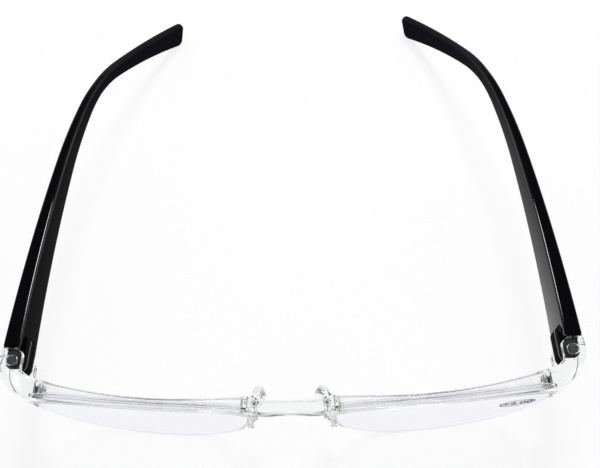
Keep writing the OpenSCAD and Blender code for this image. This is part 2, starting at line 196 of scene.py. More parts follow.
class StageSettings(bpy.types.PropertyGroup):
    """Camera, room and floor."""

    camera_x: size("Camera X", "Camera place", 7.37 * MM)
    camera_y: size("Camera Y", "Camera place", -112.4 * MM)
    camera_z: size("Camera Z", "Camera place", 182.43 * MM)
    yaw: turn("Yaw", "Turn of the view to the left of +Y", 3.09)
    pitch: turn("Pitch", "How far the view looks down", 60.92)
    roll: turn("Roll", "Turn of the picture about the view", -4.15)
    focal: bpy.props.FloatProperty(
        name="Focal length", description="In millimetres, on a 36 mm sensor", default=40.73, unit="CAMERA"
    )
    floor: size("Floor", "Radius of the floor", 4.0)
    floor_colour: tone("Floor colour", "Colour with which the floor lights the glasses", (0.88, 0.88, 0.88))
    floor_shade: share("Floor shade", "Share of its light that the floor shows as a background", 0.26)
    floor_glow: share("Floor glow", "White that the floor adds as a background", 0.82)
    horizon: share("Horizon", "Level of the backdrop at the horizon", 1.0, 4.0)
    ceiling: share("Ceiling", "Level of the room overhead, as gloss shows it", 0.10, 4.0)
    clear_ceiling: share("Clear ceiling", "Level of the room overhead, as clear pieces show it", 0.6, 4.0)
    fill: share("Fill", "Level of the even light from all round", 0.42, 4.0)


def circle(count):
    """Angles at equal steps round a circle."""
    return np.linspace(0, 2 * np.pi, count, endpoint=False)


def about_z(radius, z):
    """Points round the Z axis: each column of radius lies at its own angle, at X = radius times its cosine
    and Y = radius times its sine."""
    angle = circle(radius.shape[1])
    z = np.broadcast_to(z, radius.shape)
    return np.stack([radius * np.cos(angle), radius * np.sin(angle), z], axis=-1)


def grid_faces(rows, columns):
    """Quads between neighbouring rows of a grid whose columns close on themselves."""
    row, column = np.meshgrid(np.arange(rows - 1), np.arange(columns), indexing="ij")
    a = row * columns + column
    b = row * columns + (column + 1) % columns
    return np.stack([a, b, b + columns, a + columns], axis=-1).reshape(-1, 4)


def plain_mesh(name, points, faces):
    """A mesh from arrays of points and of faces with the same number of corners."""
    mesh = bpy.data.meshes.new(name)
    corners = faces.shape[1]
    mesh.vertices.add(len(points))
    mesh.vertices.foreach_set("co", np.ascontiguousarray(points, np.float32).ravel())
    mesh.loops.add(faces.size)
    mesh.loops.foreach_set("vertex_index", faces.ravel().astype(np.int32))
    mesh.polygons.add(len(faces))
    mesh.polygons.foreach_set("loop_start", np.arange(0, faces.size, corners, dtype=np.int32))
    mesh.update(calc_edges=True)
    return mesh


def mesh_points(mesh):
    """The vertices of a mesh as an array."""
    points = np.empty(len(mesh.vertices) * 3, np.float32)
    mesh.vertices.foreach_get("co", points)
    return points.reshape(-1, 3)


def merged(mesh, join_flats=False, outwards=False):
    """Merges doubles, so that poles and seams close, and can join flat faces and turn all outwards."""
    work = bmesh.new()
    work.from_mesh(mesh)
    bmesh.ops.remove_doubles(work, verts=work.verts, dist=MERGE)
    if join_flats:
        bmesh.ops.dissolve_limit(work, angle_limit=FLAT_ANGLE, verts=work.verts, edges=work.edges)
    if outwards:
        bmesh.ops.recalc_face_normals(work, faces=work.faces)
    work.to_mesh(mesh)
    work.free()
    return mesh


def closed(mesh, join_flats=False):
    """A closed form with its faces outwards, smooth but for its sharp edges."""
    merged(mesh, join_flats, outwards=True).shade_smooth()
    mesh.set_sharp_from_angle(angle=EDGE_ANGLE)
    return mesh


def linked(name, data):
    """A new object in the scene."""
    obj = bpy.data.objects.new(name, data)
    bpy.context.scene.collection.objects.link(obj)
    return obj


def piece(name, mesh, body, nodes, material):
    """Makes the mesh a piece that rides on a body and stands for CAD nodes."""
    obj = linked(name, mesh)
    mesh.materials.clear()
    mesh.materials.append(material)
    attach(obj, body)
    if nodes:
        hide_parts(*nodes)
    return obj


def swept_piece(name, points, mirror, body, nodes, material, masks=None):
    """A closed piece from a grid of points, rows x columns x 3, mirrored in X for the left side."""
    rows, columns = points.shape[:2]
    flat = points.reshape(-1, 3) * np.array([mirror, 1, 1])
    mesh = plain_mesh(name, flat, grid_faces(rows, columns))
    for key, values in (masks or {}).items():
        data = mesh.attributes.new(key, "FLOAT", "POINT").data
        data.foreach_set("value", values.astype(np.float32).ravel())
    piece(name, closed(mesh), body, nodes, material)


def rounded_copy(name, node, body, material, edge, steps):
    """A copy of a CAD node with its triangles joined into flat faces and its edges rounded."""
    source = frame["nodes"][node].data
    corners = np.empty(len(source.loops), np.int32)
    source.loops.foreach_get("vertex_index", corners)
    mesh = closed(plain_mesh(name, mesh_points(source), corners.reshape(-1, 3)), join_flats=True)
    obj = piece(name, mesh, body, [node], material)
    bevel = obj.modifiers.new("Rounded edges", "BEVEL")
    bevel.width = edge
    bevel.segments = steps
    bevel.limit_method = "ANGLE"
    bevel.angle_limit = EDGE_ANGLE
    bevel.harden_normals = True
    bevel.use_clamp_overlap = False


def dress_node(node, material):
    """Gives a CAD node that stays as it is its finish."""
    obj = frame["nodes"][node]
    obj.data.materials.clear()
    obj.data.materials.append(material)


def add(tree, kind, inputs=None, **values):
    """Adds a shader node, sets its own values, and sets or links its inputs by name."""
    made = tree.nodes.new(kind)
    for key, value in values.items():
        setattr(made, key, value)
    for key, value in (inputs or {}).items():
        if isinstance(value, bpy.types.NodeSocket):
            tree.links.new(value, made.inputs[key])
        else:
            made.inputs[key].default_value = value
    return made


def maths(tree, operation, *values, **options):
    """The result of a Math node."""
    return add(tree, "ShaderNodeMath", dict(enumerate(values)), operation=operation, **options).outputs[0]


def noise(tree, place, per_metre, detail, roughness=0.5):
    """Soft noise with about so many spots in a metre."""
    inputs = {"Vector": place, "Scale": per_metre, "Detail": detail, "Roughness": roughness}
    return add(tree, "ShaderNodeTexNoise", inputs).outputs["Fac"]


def stretched(tree, value, low, high):
    """A value spread so that low becomes 0 and high becomes 1."""
    return add(tree, "ShaderNodeMapRange", {"Value": value, "From Min": low, "From Max": high}).outputs[0]


def group(name, inputs, outputs):
    """A shader node group with named sockets, or None with the group if it was made before."""
    if name in bpy.data.node_groups:
        return bpy.data.node_groups[name], None, None
    tree = bpy.data.node_groups.new(name, "ShaderNodeTree")
    for key, kind, default in inputs:
        socket = tree.interface.new_socket(key, in_out="INPUT", socket_type=kind)
        if default is not None:
            socket.default_value = default
    for key, kind in outputs:
        tree.interface.new_socket(key, in_out="OUTPUT", socket_type=kind)
    return tree, add(tree, "NodeGroupInput").outputs, add(tree, "NodeGroupOutput").inputs


def handling_group():
    """Finger marks and fine hairline scratches: a roughness that wanders between two values."""
    tree, given, out = group(
        "Handling marks",
        [("Coordinate", "NodeSocketVector", None), ("Marks per metre", "NodeSocketFloat", 90.0),
         ("Clean", "NodeSocketFloat", 0.02), ("Marked", "NodeSocketFloat", 0.08)],
        [("Roughness", "NodeSocketFloat"), ("Mask", "NodeSocketFloat")],
    )
    if given is None:
        return tree
    place = given["Coordinate"]
    smudge = noise(tree, place, given["Marks per metre"], detail=3.0, roughness=0.55)
    streaks_per_metre = 2600.0, 160.0, 2600.0
    streak_at = add(tree, "ShaderNodeMapping", {"Vector": place, "Scale": streaks_per_metre}).outputs[0]
    streak = noise(tree, streak_at, 1.0, detail=2.0)
    both = maths(tree, "MAXIMUM", stretched(tree, smudge, 0.42, 0.72), stretched(tree, streak, 0.62, 0.74))
    levels = {"Value": both, "To Min": given["Clean"], "To Max": given["Marked"]}
    tree.links.new(add(tree, "ShaderNodeMapRange", levels).outputs[0], out["Roughness"])
    tree.links.new(both, out["Mask"])
    return tree


def ripple_group():
    """The slow ripple that a moulding keeps from its tool, as a height."""
    tree, given, out = group(
        "Moulding ripple",
        [("Coordinate", "NodeSocketVector", None), ("Waves per metre", "NodeSocketFloat", 160.0),
         ("Grain", "NodeSocketFloat", 0.1)],
        [("Height", "NodeSocketFloat")],
    )
    if given is None:
        return tree
    place, waves = given["Coordinate"], given["Waves per metre"]
    finer = 22.0
    slow = noise(tree, place, waves, detail=1.0)
    fine = noise(tree, place, maths(tree, "MULTIPLY", waves, finer), detail=2.0)
    total = maths(tree, "ADD", slow, maths(tree, "MULTIPLY", fine, given["Grain"]))
    tree.links.new(total, out["Height"])
    return tree


def new_material(name):
    """An empty material with its output and the coordinates of the object at the origin."""
    material = bpy.data.materials.new(name)
    material.use_nodes = True
    tree = material.node_tree
    tree.nodes.clear()
    output = add(tree, "ShaderNodeOutputMaterial")
    return material, tree, output, add(tree, "ShaderNodeTexCoord").outputs["Object"]


def surface(tree, output, inputs):
    """A material's shader with its inputs, joined to the material's output."""
    shader = add(tree, "ShaderNodeBsdfPrincipled", inputs)
    tree.links.new(shader.outputs[0], output.inputs["Surface"])


def marks(tree, place, per_metre, clean, marked):
    """The handling marks with this material's values: how many in a metre, and the roughness without and
    with them."""
    inputs = {"Coordinate": place, "Marks per metre": per_metre, "Clean": clean, "Marked": marked}
    return add(tree, "ShaderNodeGroup", inputs, node_tree=handling_group()).outputs


def ripple_normal(tree, place, waves, grain, strength, distance):
    """A normal from the moulding's ripple with this material's values: ripples in a metre, share of the
    fine grain, bump strength and bump height."""
    inputs = {"Coordinate": place, "Waves per metre": waves, "Grain": grain}
    height = add(tree, "ShaderNodeGroup", inputs, node_tree=ripple_group()).outputs["Height"]
    bump = {"Height": height, "Strength": strength, "Distance": distance}
    return add(tree, "ShaderNodeBump", bump).outputs[0]


def mixed(tree, factor, first, second):
    """A colour between two colours."""
    mix = add(tree, "ShaderNodeMix", data_type="RGBA")
    colours = [socket for socket in mix.inputs if socket.type == "RGBA"]
    for socket, colour in zip(colours, (first, second)):
        socket.default_value = (*colour, 1.0)
    tree.links.new(factor, next(socket for socket in mix.inputs if socket.type == "VALUE"))
    return next(socket for socket in mix.outputs if socket.type == "RGBA")


def see_through(name, colour, ior, clean, marked, waves, grain, ripple):
    """Clear moulded plastic: full transmission, with marks in its gloss and a slow ripple.

    The front has its plastic's own refraction. The lenses, pads and threads have less than theirs,
    because light that runs on between close walls is lost, and drew black streaks into the brow.
    """
    if name in bpy.data.materials:
        return bpy.data.materials[name]
    material, tree, output, place = new_material(name)
    surface(tree, output, {
        "Base Color": (*colour, 1.0),
        "Transmission Weight": 1.0,
        "IOR": ior,
        "Roughness": marks(tree, place, per_metre=70.0, clean=clean, marked=marked)["Roughness"],
        "Normal": ripple_normal(tree, place, waves, grain, ripple, distance=0.1 * MM),
    })
    return material


def front_plastic(front):
    """The polished moulding of the front."""
    return see_through("clear_front_plastic", front.colour, ior=1.49, clean=front.gloss, marked=0.05,
                       waves=170.0, grain=0.02, ripple=front.ripple)


def pad_plastic(front):
    """The softer, slightly cloudy nose pads."""
    return see_through("nose_pad_plastic", front.pad_colour, ior=1.10, clean=0.05, marked=0.12,
                       waves=260.0, grain=0.05, ripple=0.06)


def lens_plastic(lens):
    """The smooth, tinted lenses."""
    return see_through("tinted_lens_plastic", lens.colour, ior=1.08, clean=0.0, marked=0.012,
                       waves=60.0, grain=0.0, ripple=0.01)


def nylon(lens):
    """The drawn thread, with a fine ripple."""
    return see_through("nylon_thread", lens.nylon, ior=1.20, clean=0.08, marked=0.16,
                       waves=900.0, grain=0.1, ripple=0.08)


def black_plastic(temple):
    """Black plastic with as much lacquer as its piece says, and satin towards the tips. The lacquer mask also
    carries a painted sheen, set per side, on the inner faces at the hinge.
    """
    if "black_temple_plastic" in bpy.data.materials:
        return bpy.data.materials["black_temple_plastic"]
    material, tree, output, place = new_material("black_temple_plastic")
    # This mask is lacquer and, on the inner faces at the hinge, a painted sheen set per side
    lacquer_and_painted_sheen = add(tree, "ShaderNodeAttribute", attribute_name="lacquer_and_painted_sheen").outputs["Fac"]
    satin = add(tree, "ShaderNodeAttribute", attribute_name="satin").outputs["Fac"]
    wear = marks(tree, place, per_metre=120.0, clean=0.10, marked=0.24)
    satin_adds = 0.26
    surface(tree, output, {
        "Base Color": mixed(tree, satin, temple.colour, temple.tip_colour),
        "Roughness": maths(tree, "MULTIPLY_ADD", satin, satin_adds, wear["Roughness"]),
        "Specular IOR Level": 0.0,
        "Coat Weight": lacquer_and_painted_sheen,
        "Coat Roughness": 0.04,
        "Normal": ripple_normal(tree, place, waves=90.0, grain=0.03, strength=0.05, distance=0.2 * MM),
    })
    return material


def steel(temple):
    """Turned steel: fine tool marks as a small ripple, and a little tarnish where it was handled."""
    if "turned_steel" in bpy.data.materials:
        return bpy.data.materials["turned_steel"]
    material, tree, output, place = new_material("turned_steel")
    wear = marks(tree, place, per_metre=700.0, clean=0.10, marked=0.24)
    dulled = 0.62
    surface(tree, output, {
        "Base Color": mixed(tree, wear["Mask"], temple.steel, [dulled * c for c in temple.steel]),
        "Metallic": 1.0,
        "Roughness": wear["Roughness"],
        "Normal": ripple_normal(tree, place, waves=2500.0, grain=0.3, strength=0.12, distance=0.02 * MM),
    })
    return material


def label_coat(name, colour, see):
    """Thin film or ink with a slight mottle; see is how much of what lies behind shows."""
    if name in bpy.data.materials:
        return bpy.data.materials[name]
    material, tree, output, place = new_material(name)
    wear = marks(tree, place, per_metre=900.0, clean=0.28, marked=0.42)
    surface(tree, output, {
        "Base Color": mixed(tree, wear["Mask"], colour, [min(1.0, 1.25 * c + 0.02) for c in colour]),
        "Roughness": wear["Roughness"],
        "Specular IOR Level": 0.1,
        "Alpha": 1.0 - see,
    })
    return material


def wrap_y(lens, x, forward):
    """Y on an upright cylinder through the lenses, moved forward: the centre's Y less the leg of the
    triangle that has the radius and X as its other sides."""
    foremost = LENS_LOW.y + lens.thickness / 2
    centre = foremost + math.sqrt(lens.wrap ** 2 - LENS_LOW.x ** 2)
    return centre - np.sqrt((lens.wrap + forward) ** 2 - np.square(x))


def lens_outline(lens, count, outward=0.0):
    """X and Z of the lens edge at equal steps along it.

    Four quarter superellipses share the point where the lens is widest: each runs over
    half width times cos^(2/n) and half height times sin^(2/n), where n says how square it is. The
    lowest stretch is cut flat.
    """
    samples = 24 * count
    angle = np.linspace(0, 2 * np.pi, samples + 1)
    c, s = np.cos(angle), np.sin(angle)
    power = 2 / np.where(s > 0, SQUARE_ABOVE, np.where(c > 0, SQUARE_OUTER, SQUARE_NOSE))
    width = np.where(c > 0, LENS_HIGH.x - LENS_LOW.x - lens.low_point, lens.low_point) + outward
    height = np.where(s > 0, lens.upper, LENS_HIGH.z - lens.upper + lens.flat) + outward
    x = LENS_LOW.x + lens.low_point + width * np.sign(c) * np.abs(c) ** power
    z = LENS_HIGH.z - lens.upper + height * np.sign(s) * np.abs(s) ** power
    z = np.maximum(z, LENS_LOW.z - outward)
    along = np.concatenate([[0], np.cumsum(np.hypot(np.diff(x), np.diff(z)))])
    even = np.linspace(0, along[-1], count, endpoint=False)
    return np.interp(even, along, x), np.interp(even, along, z)


def lens_grid(lens, count=LENS_STEPS):
    """The lens as rows from the middle of the back, over the edge and its groove, to the middle of the
    front. Its edge has quarter arcs for bevels, and half an ellipse for the groove. The rows on its faces
    are the edge's first row, drawn in towards the middle by a share."""
    half, bevel = lens.thickness / 2, lens.bevel
    ring = np.linspace(0, np.pi / 2, 5)
    groove = np.linspace(-np.pi / 2, np.pi / 2, 9)
    corner = bevel * (1 - np.cos(ring))
    # How far each row lies inside the outline, and how far forward of the middle surface
    inset = np.concatenate([corner[::-1], lens.groove_depth * np.cos(groove), corner])
    forward = np.concatenate([
        -half + bevel * (1 - np.sin(ring[::-1])),
        lens.groove_width / 2 * np.sin(groove),
        half - bevel * (1 - np.sin(ring)),
    ])
    spread = np.array([0, 0.2, 0.45, 0.7, 0.88, 0.97])
    middle_x, middle_z = LENS_LOW.x + lens.low_point, LENS_HIGH.z - lens.upper
    edge = [lens_outline(lens, count, -i) for i in inset]
    x = np.stack([e[0] for e in edge])
    z = np.stack([e[1] for e in edge])
    scale = spread[:, None]
    face_x = middle_x + scale * (x[0] - middle_x)
    face_z = middle_z + scale * (z[0] - middle_z)
    x = np.concatenate([face_x, x, face_x[::-1]])
    z = np.concatenate([face_z, z, face_z[::-1]])
    forward = np.concatenate([np.full(len(spread), -half), forward, np.full(len(spread), half)])
    return np.stack([x, wrap_y(lens, x, forward[:, None]), z], axis=-1)


def tube_grid(path, radius, around=12):
    """A round tube along a path in a nearly upright plane, with both ends closed to a point: each ring is
    the radius times the angle's cosine to one side, and times its sine to the other."""
    along = np.gradient(path, axis=0)
    along /= np.linalg.norm(along, axis=1, keepdims=True)
    side = np.cross(along, [0, 1, 0])
    side /= np.linalg.norm(side, axis=1, keepdims=True)
    other = np.cross(along, side)
    angle = circle(around)
    rings = path[:, None] + radius * (
        side[:, None] * np.cos(angle)[None, :, None] + other[:, None] * np.sin(angle)[None, :, None]
    )
    start = np.repeat(path[:1, None], around, axis=1)
    end = np.repeat(path[-1:, None], around, axis=1)
    return np.concatenate([start, rings, end])


class Dresser(bpy.types.Operator):
    """Shared setting of the operators that make a piece."""

    bl_options = {"REGISTER", "UNDO"}


class GLASSES_OT_clear_front(Dresser):
    """Makes the clear front with its brow, bridge, nose arms and end pieces"""

    bl_idname = "glasses.clear_front"
    bl_label = "Clear front"

    def execute(self, context):
        front = context.scene.glasses_front
        rounded_copy("clear_front", "front_frame", "front", front_plastic(front),
                     front.edge, steps=3)
        return {"FINISHED"}


class GLASSES_OT_lenses(Dresser):
    """Makes the two tinted lenses with their grooved edges"""

    bl_idname = "glasses.lenses"
    bl_label = "Tinted lenses"

    def execute(self, context):
        lens = context.scene.glasses_lens
        grid = lens_grid(lens)
        for side, mirror in SIDES.items():
            swept_piece(f"tinted_lens_{side}", grid, mirror, "front", [f"lens_{side}"],
                        lens_plastic(lens))
        return {"FINISHED"}


class GLASSES_OT_threads(Dresser):
    """Makes the nylon thread round each lens's free edge, and gives the liners the same nylon"""

    bl_idname = "glasses.threads"
    bl_label = "Nylon threads"

    def execute(self, context):
        lens = context.scene.glasses_lens
        low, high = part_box("lens_cord_right")
        near_end = 1.0 * MM
        x, z = lens_outline(lens, LENS_STEPS, -lens.thread_in)
        cord = mesh_points(frame["nodes"]["lens_cord_right"].data)
        nose_z = cord[cord[:, 0] < low.x + near_end][:, 2].max()
        outer_z = cord[cord[:, 0] > high.x - near_end][:, 2].max()
        middle = LENS_LOW.x + lens.low_point
        free = np.where(x < middle, z < nose_z, z < outer_z)
        start = int(np.argmax(free & ~np.roll(free, 1)))
        order = (start + np.arange(int(free.sum()))) % len(x)
        path = np.stack([x[order], wrap_y(lens, x[order], 0.0), z[order]], axis=-1)
        for side, mirror in SIDES.items():
            swept_piece(f"nylon_thread_{side}", tube_grid(path, lens.thread), mirror, "front",
                        [f"lens_cord_{side}"], nylon(lens))
            dress_node(f"lens_liner_{side}", nylon(lens))
        return {"FINISHED"}


class GLASSES_OT_nose_pads(Dresser):
    """Makes the two clear nose pads on their stems"""

    bl_idname = "glasses.nose_pads"
    bl_label = "Nose pads"

    def execute(self, context):
        front = context.scene.glasses_front
        for side in SIDES:
            rounded_copy(f"soft_pad_{side}", f"nose_pad_{side}", "front", pad_plastic(front),
                         front.pad_edge, steps=5)
        return {"FINISHED"}


def temple_frame(temple, s):
    """Directions ahead, inwards and upwards at distances s along a right temple.

    The heading grows by s / bow radius up to the hook, and by s / hook radius after it. The dip grows
    by s / bend radius from the bend on, up to the drop.
    """
    heading = np.minimum(s, temple.hook_at) / temple.bow + np.maximum(0, s - temple.hook_at) / temple.hook
    dip = np.clip((s - temple.bend_at) / temple.bend_radius, 0, temple.drop)
    ahead = np.stack([-np.sin(heading) * np.cos(dip), np.cos(heading) * np.cos(dip), -np.sin(dip)], axis=-1)
    inwards = np.stack([-np.cos(heading), -np.sin(heading), np.zeros_like(s)], axis=-1)
    upwards = np.stack([-np.sin(heading) * np.sin(dip), np.cos(heading) * np.sin(dip), np.cos(dip)], axis=-1)
    return ahead, inwards, upwards


def temple_spine(temple, steps):
    """Distances and points along the temple's middle line: the sum of short straight steps ahead."""
    s = np.linspace(0, temple.length - temple.tip_round, steps + 1)
    ahead, _, _ = temple_frame(temple, (s[1:] + s[:-1]) / 2)
    start = np.array([temple_middle_x(temple), HINGE.y + temple.axis_back, HINGE.z])
    return s, np.vstack([start, start + np.cumsum(ahead * (s[1] - s[0]), axis=0)])


def temple_middle_x(temple):
    """X of the middle of the right temple's hinge end."""
    return FRONT_HIGH.x - temple.set_in - temple.thick_hinge / 2


def temple_thickness(temple, s):
    """A straight taper, and past it one thickness."""
    narrowed = np.minimum(1, s / (temple.taper * temple.length))
    return temple.thick_hinge + (temple.thick_mid - temple.thick_hinge) * narrowed


def temple_height(temple, s):
    """A straight taper to the bend, and past it a flare that grows as a power of the distance."""
    taper = temple.taper * temple.length
    past = np.clip((s - taper) / (temple.length - taper), 0, 1)
    narrowed = temple.high_hinge + (temple.high_bend - temple.high_hinge) * np.minimum(1, s / taper)
    return narrowed + (temple.high_tip - temple.high_bend) * past ** temple.flare


def section_ring(points, inwards, upwards, thickness, height, edge, arc=6):
    """Rounded rectangles across the spine: four corner arcs whose radius stays under half the section."""
    angle = np.concatenate([np.linspace(q, q + np.pi / 2, arc) for q in np.arange(4) * np.pi / 2])
    quarter = np.repeat(np.arange(4) * np.pi / 2 + np.pi / 4, arc)
    under_half = 0.49
    radius = np.minimum(edge, under_half * np.minimum(thickness, height))
    radius = np.broadcast_to(radius, thickness.shape)[:, None]
    across = np.sign(np.cos(quarter)) * (thickness[:, None] / 2 - radius) + radius * np.cos(angle)
    up = np.sign(np.sin(quarter)) * (height[:, None] / 2 - radius) + radius * np.sin(angle)
    ring = points[:, None] + inwards[:, None] * across[..., None] + upwards[:, None] * up[..., None]
    facing = np.stack([np.cos(angle), np.sin(angle)], axis=-1)
    return ring, np.broadcast_to(facing, (*across.shape, 2))


def temple_grid(temple, steps=260, mouth_rows=3, tip_rows=12):
    """The temple from its closed hinge end to its round tip, with how far each point faces inwards and
    upwards, and how far along the temple each row lies."""
    s, spine = temple_spine(temple, steps)
    _, inwards, upwards = temple_frame(temple, s)
    thick, high = temple_thickness(temple, s), temple_height(temple, s)
    edge = temple.edge + (temple.tip_edge - temple.edge) * s / temple.length
    body, facing = section_ring(spine, inwards, upwards, thick, high, edge)
    turn_in = np.linspace(np.pi / 2, 0, mouth_rows + 1)[:-1]
    mouth_s = temple.mouth * (1 - np.sin(turn_in))
    shrink = 2 * temple.mouth * (1 - np.cos(turn_in))
    ahead, inwards0, upwards0 = temple_frame(temple, mouth_s)
    near = spine[0] + ahead * mouth_s[:, None]
    mouth, mouth_facing = section_ring(near, inwards0, upwards0, thick[0] - shrink[::-1],
                                       high[0] - shrink[::-1], temple.edge)
    centre = np.repeat(near[:1, None], body.shape[1], axis=1)
    a = np.linspace(0, temple.tip_turn, tip_rows + 1)[1:]
    ahead, inwards1, upwards1 = temple_frame(temple, np.full(tip_rows, s[-1]))
    end = spine[-1] + ahead * temple.tip_round * np.sin(a)[:, None]
    tip, tip_facing = section_ring(end, inwards1, upwards1, thick[-1] * np.sqrt(np.cos(a)),
                                   high[-1] - 2 * temple.tip_round * (1 - np.cos(a)), edge[-1])
    close = np.repeat(end[-1:, None], body.shape[1], axis=1)
    grid = np.concatenate([centre, mouth, body[1:], tip, close])
    facing = np.concatenate([mouth_facing[:1], mouth_facing, facing[1:], tip_facing, tip_facing[-1:]])
    where = np.concatenate([[0], mouth_s, s[1:], np.full(tip_rows + 1, s[-1])])
    return grid, facing, where[:, None]


def ring_prism(reach, hole, low, high, edge, belts, rows=5):
    """A profile carried round an upright axis: out over the bottom, up the outline and in over the top.

    reach is the distance from the axis to the outline at each angle, hole is the bore's radius, the outer
    edges are quarter arcs of radius edge, and belts are the heights of more rows on the upright part.
    """
    bend = np.linspace(0, np.pi / 2, rows)
    inset = np.concatenate([edge * (1 - np.sin(bend)), np.zeros(len(belts)), edge * (1 - np.cos(bend))])
    height = np.concatenate([low + edge * (1 - np.cos(bend)), belts, high - edge * (1 - np.sin(bend))])
    radius = np.concatenate([np.full((1, len(reach)), hole), reach[None] - inset[:, None],
                             np.full((1, len(reach)), hole), np.full((1, len(reach)), hole)])
    z = np.concatenate([[low], height, [high], [low]])
    return about_z(radius, z[:, None])


def tongue_reach(temple, count=240):
    """Distance from the hinge axis to the tongue's outline: a half circle in front, and behind it the
    nearest of the lines through the tongue's two sides, its bevel and its end."""
    angle = circle(count)
    d = np.stack([np.cos(angle), np.sin(angle)], axis=-1)
    half = temple.tongue_width / 2
    back = temple.axis_back + temple.root
    end = back + temple.root_bevel
    bevel_to = np.array([temple_middle_x(temple) - HINGE.x - temple.thick_hinge / 4, end])
    bevel_from = np.array([-half, back])
    slope = bevel_to - bevel_from
    lines = [((1, 0), half), ((-1, 0), half), ((0, 1), end),
             ((-slope[1], slope[0]), -slope[1] * bevel_from[0] + slope[0] * bevel_from[1])]
    far, least = 1.0, 1e-9
    reach = np.full(count, far)
    for normal, level in lines:
        towards = d @ np.array(normal)
        reach = np.where(towards > least, np.minimum(reach, level / np.maximum(towards, least)), reach)
    return np.where(d[:, 1] <= 0, half, reach)


class GLASSES_OT_temples(Dresser):
    """Makes the two black temples with their hinge tongues"""

    bl_idname = "glasses.temples"
    bl_label = "Temples"

    def execute(self, context):
        temple = context.scene.glasses_temple
        grid, facing, where = temple_grid(temple)
        satin_from, satin_to = 0.45 * temple.length, 0.75 * temple.length
        satin = np.clip((where - satin_from) / (satin_to - satin_from), 0, 1)
        satin = np.broadcast_to(satin, facing.shape[:2])
        half = temple.tongue_height / 2
        bush_gap = 0.02 * MM
        bush = (BUSH_HIGH.x - BUSH_LOW.x) / 2 + bush_gap
        line, wide = temple.tongue_line, temple.tongue_line_width
        belts = np.array([temple.tongue_edge - half + wide, line - wide, line, line + wide])
        tongue = ring_prism(tongue_reach(temple), bush, -half, half, temple.tongue_edge, belts)
        # The tongue is dull but for a polished line along its side and its lower edge
        dull, low_line, side_line = 0.05, 0.4, 0.95
        gloss = np.interp(tongue[..., 2], [-half, temple.tongue_edge - half, *belts, half],
                          [dull, low_line, dull, dull, side_line, dull, dull])
        tongue = tongue + np.array(HINGE)
        shiny = {"lacquer_and_painted_sheen": gloss, "satin": np.zeros(gloss.shape)}
        black = black_plastic(temple)
        for side, mirror in SIDES.items():
            body = f"{side}_temple"
            # The mask holds the lacquer and the painted sheen of this side's inner face
            masks = {"lacquer_and_painted_sheen": self.lacquer_and_painted_sheen(temple, side, facing, where, satin), "satin": satin}
            swept_piece(f"temple_arm_{side}", grid, mirror, body, [f"temple_{side}"], black,
                        masks)
            swept_piece(f"temple_tongue_{side}", tongue, mirror, body, [], black, shiny)
        return {"FINISHED"}

    def lacquer_and_painted_sheen(self, temple, side, facing, where, satin):
        """Lacquer is full on the edge between the top and the inner face, and keeps one level on the other
        faces. On the inner face it keeps a low level, over which a painted sheen set per side falls off with
        distance from the hinge, by exp(-distance / fade): a painted reflection on the right temple and
        painted shade on the left."""
        # Painted sheen at the hinge: a painted reflection on the right inner face, painted shade on the left
        painted_sheen_at_hinge = temple.painted_sheen_left if side == "left" else temple.painted_sheen_right
        inner = painted_sheen_at_hinge * np.exp(-where / temple.painted_sheen_fade) + temple.gloss_rest
        inwards, up = facing[..., 0], facing[..., 1]
        turned = 0.02
        edge = (inwards > turned) & (inwards < 1 - turned) & (up > 0)
        edge_loss, satin_loss = 0.6, 0.7
        level = np.where(edge, 1.0 - edge_loss * satin, np.where(inwards > turned, inner, temple.outer_gloss))
        return level * (1 - satin_loss * satin)


class GLASSES_OT_hardware(Dresser):
    """Makes the screws, bushes and nuts of the hinges, and gives the core wires their steel"""

    bl_idname = "glasses.hardware"
    bl_label = "Hinge hardware"

    def execute(self, context):
        temple = context.scene.glasses_temple
        metal = steel(temple)
        for side in SIDES:
            for part, body in (("screw", "front"), ("nut", "front"), ("bush", f"{side}_temple")):
                rounded_copy(f"steel_{part}_{side}", f"hinge_{part}_{side}", body, metal,
                             temple.steel_edge, steps=2)
            dress_node(f"core_wire_{side}", metal)
        return {"FINISHED"}


def on_lens(lens, x, z, forward):
    """Points at x and z on the lens's front, forward of its middle surface."""
    return np.stack([x, wrap_y(lens, x, forward), z], axis=-1)


def oval_plate(lens, centre, half_x, half_z, back, front, inner=0.0, count=96):
    """An oval plate or ring on the lens: rows over its back and its front, each an ellipse, from an inner
    share of its size outwards."""
    angle = circle(count)
    spread = np.array([inner, (1 + inner) / 2, 1.0])
    rows = np.concatenate([spread, spread[::-1], spread[:1]])
    forward = np.concatenate([np.full(3, back), np.full(3, front), [back]])
    x = centre[0] + rows[:, None] * half_x * np.cos(angle)
    z = centre[1] + rows[:, None] * half_z * np.sin(angle)
    return on_lens(lens, x, z, forward[:, None])


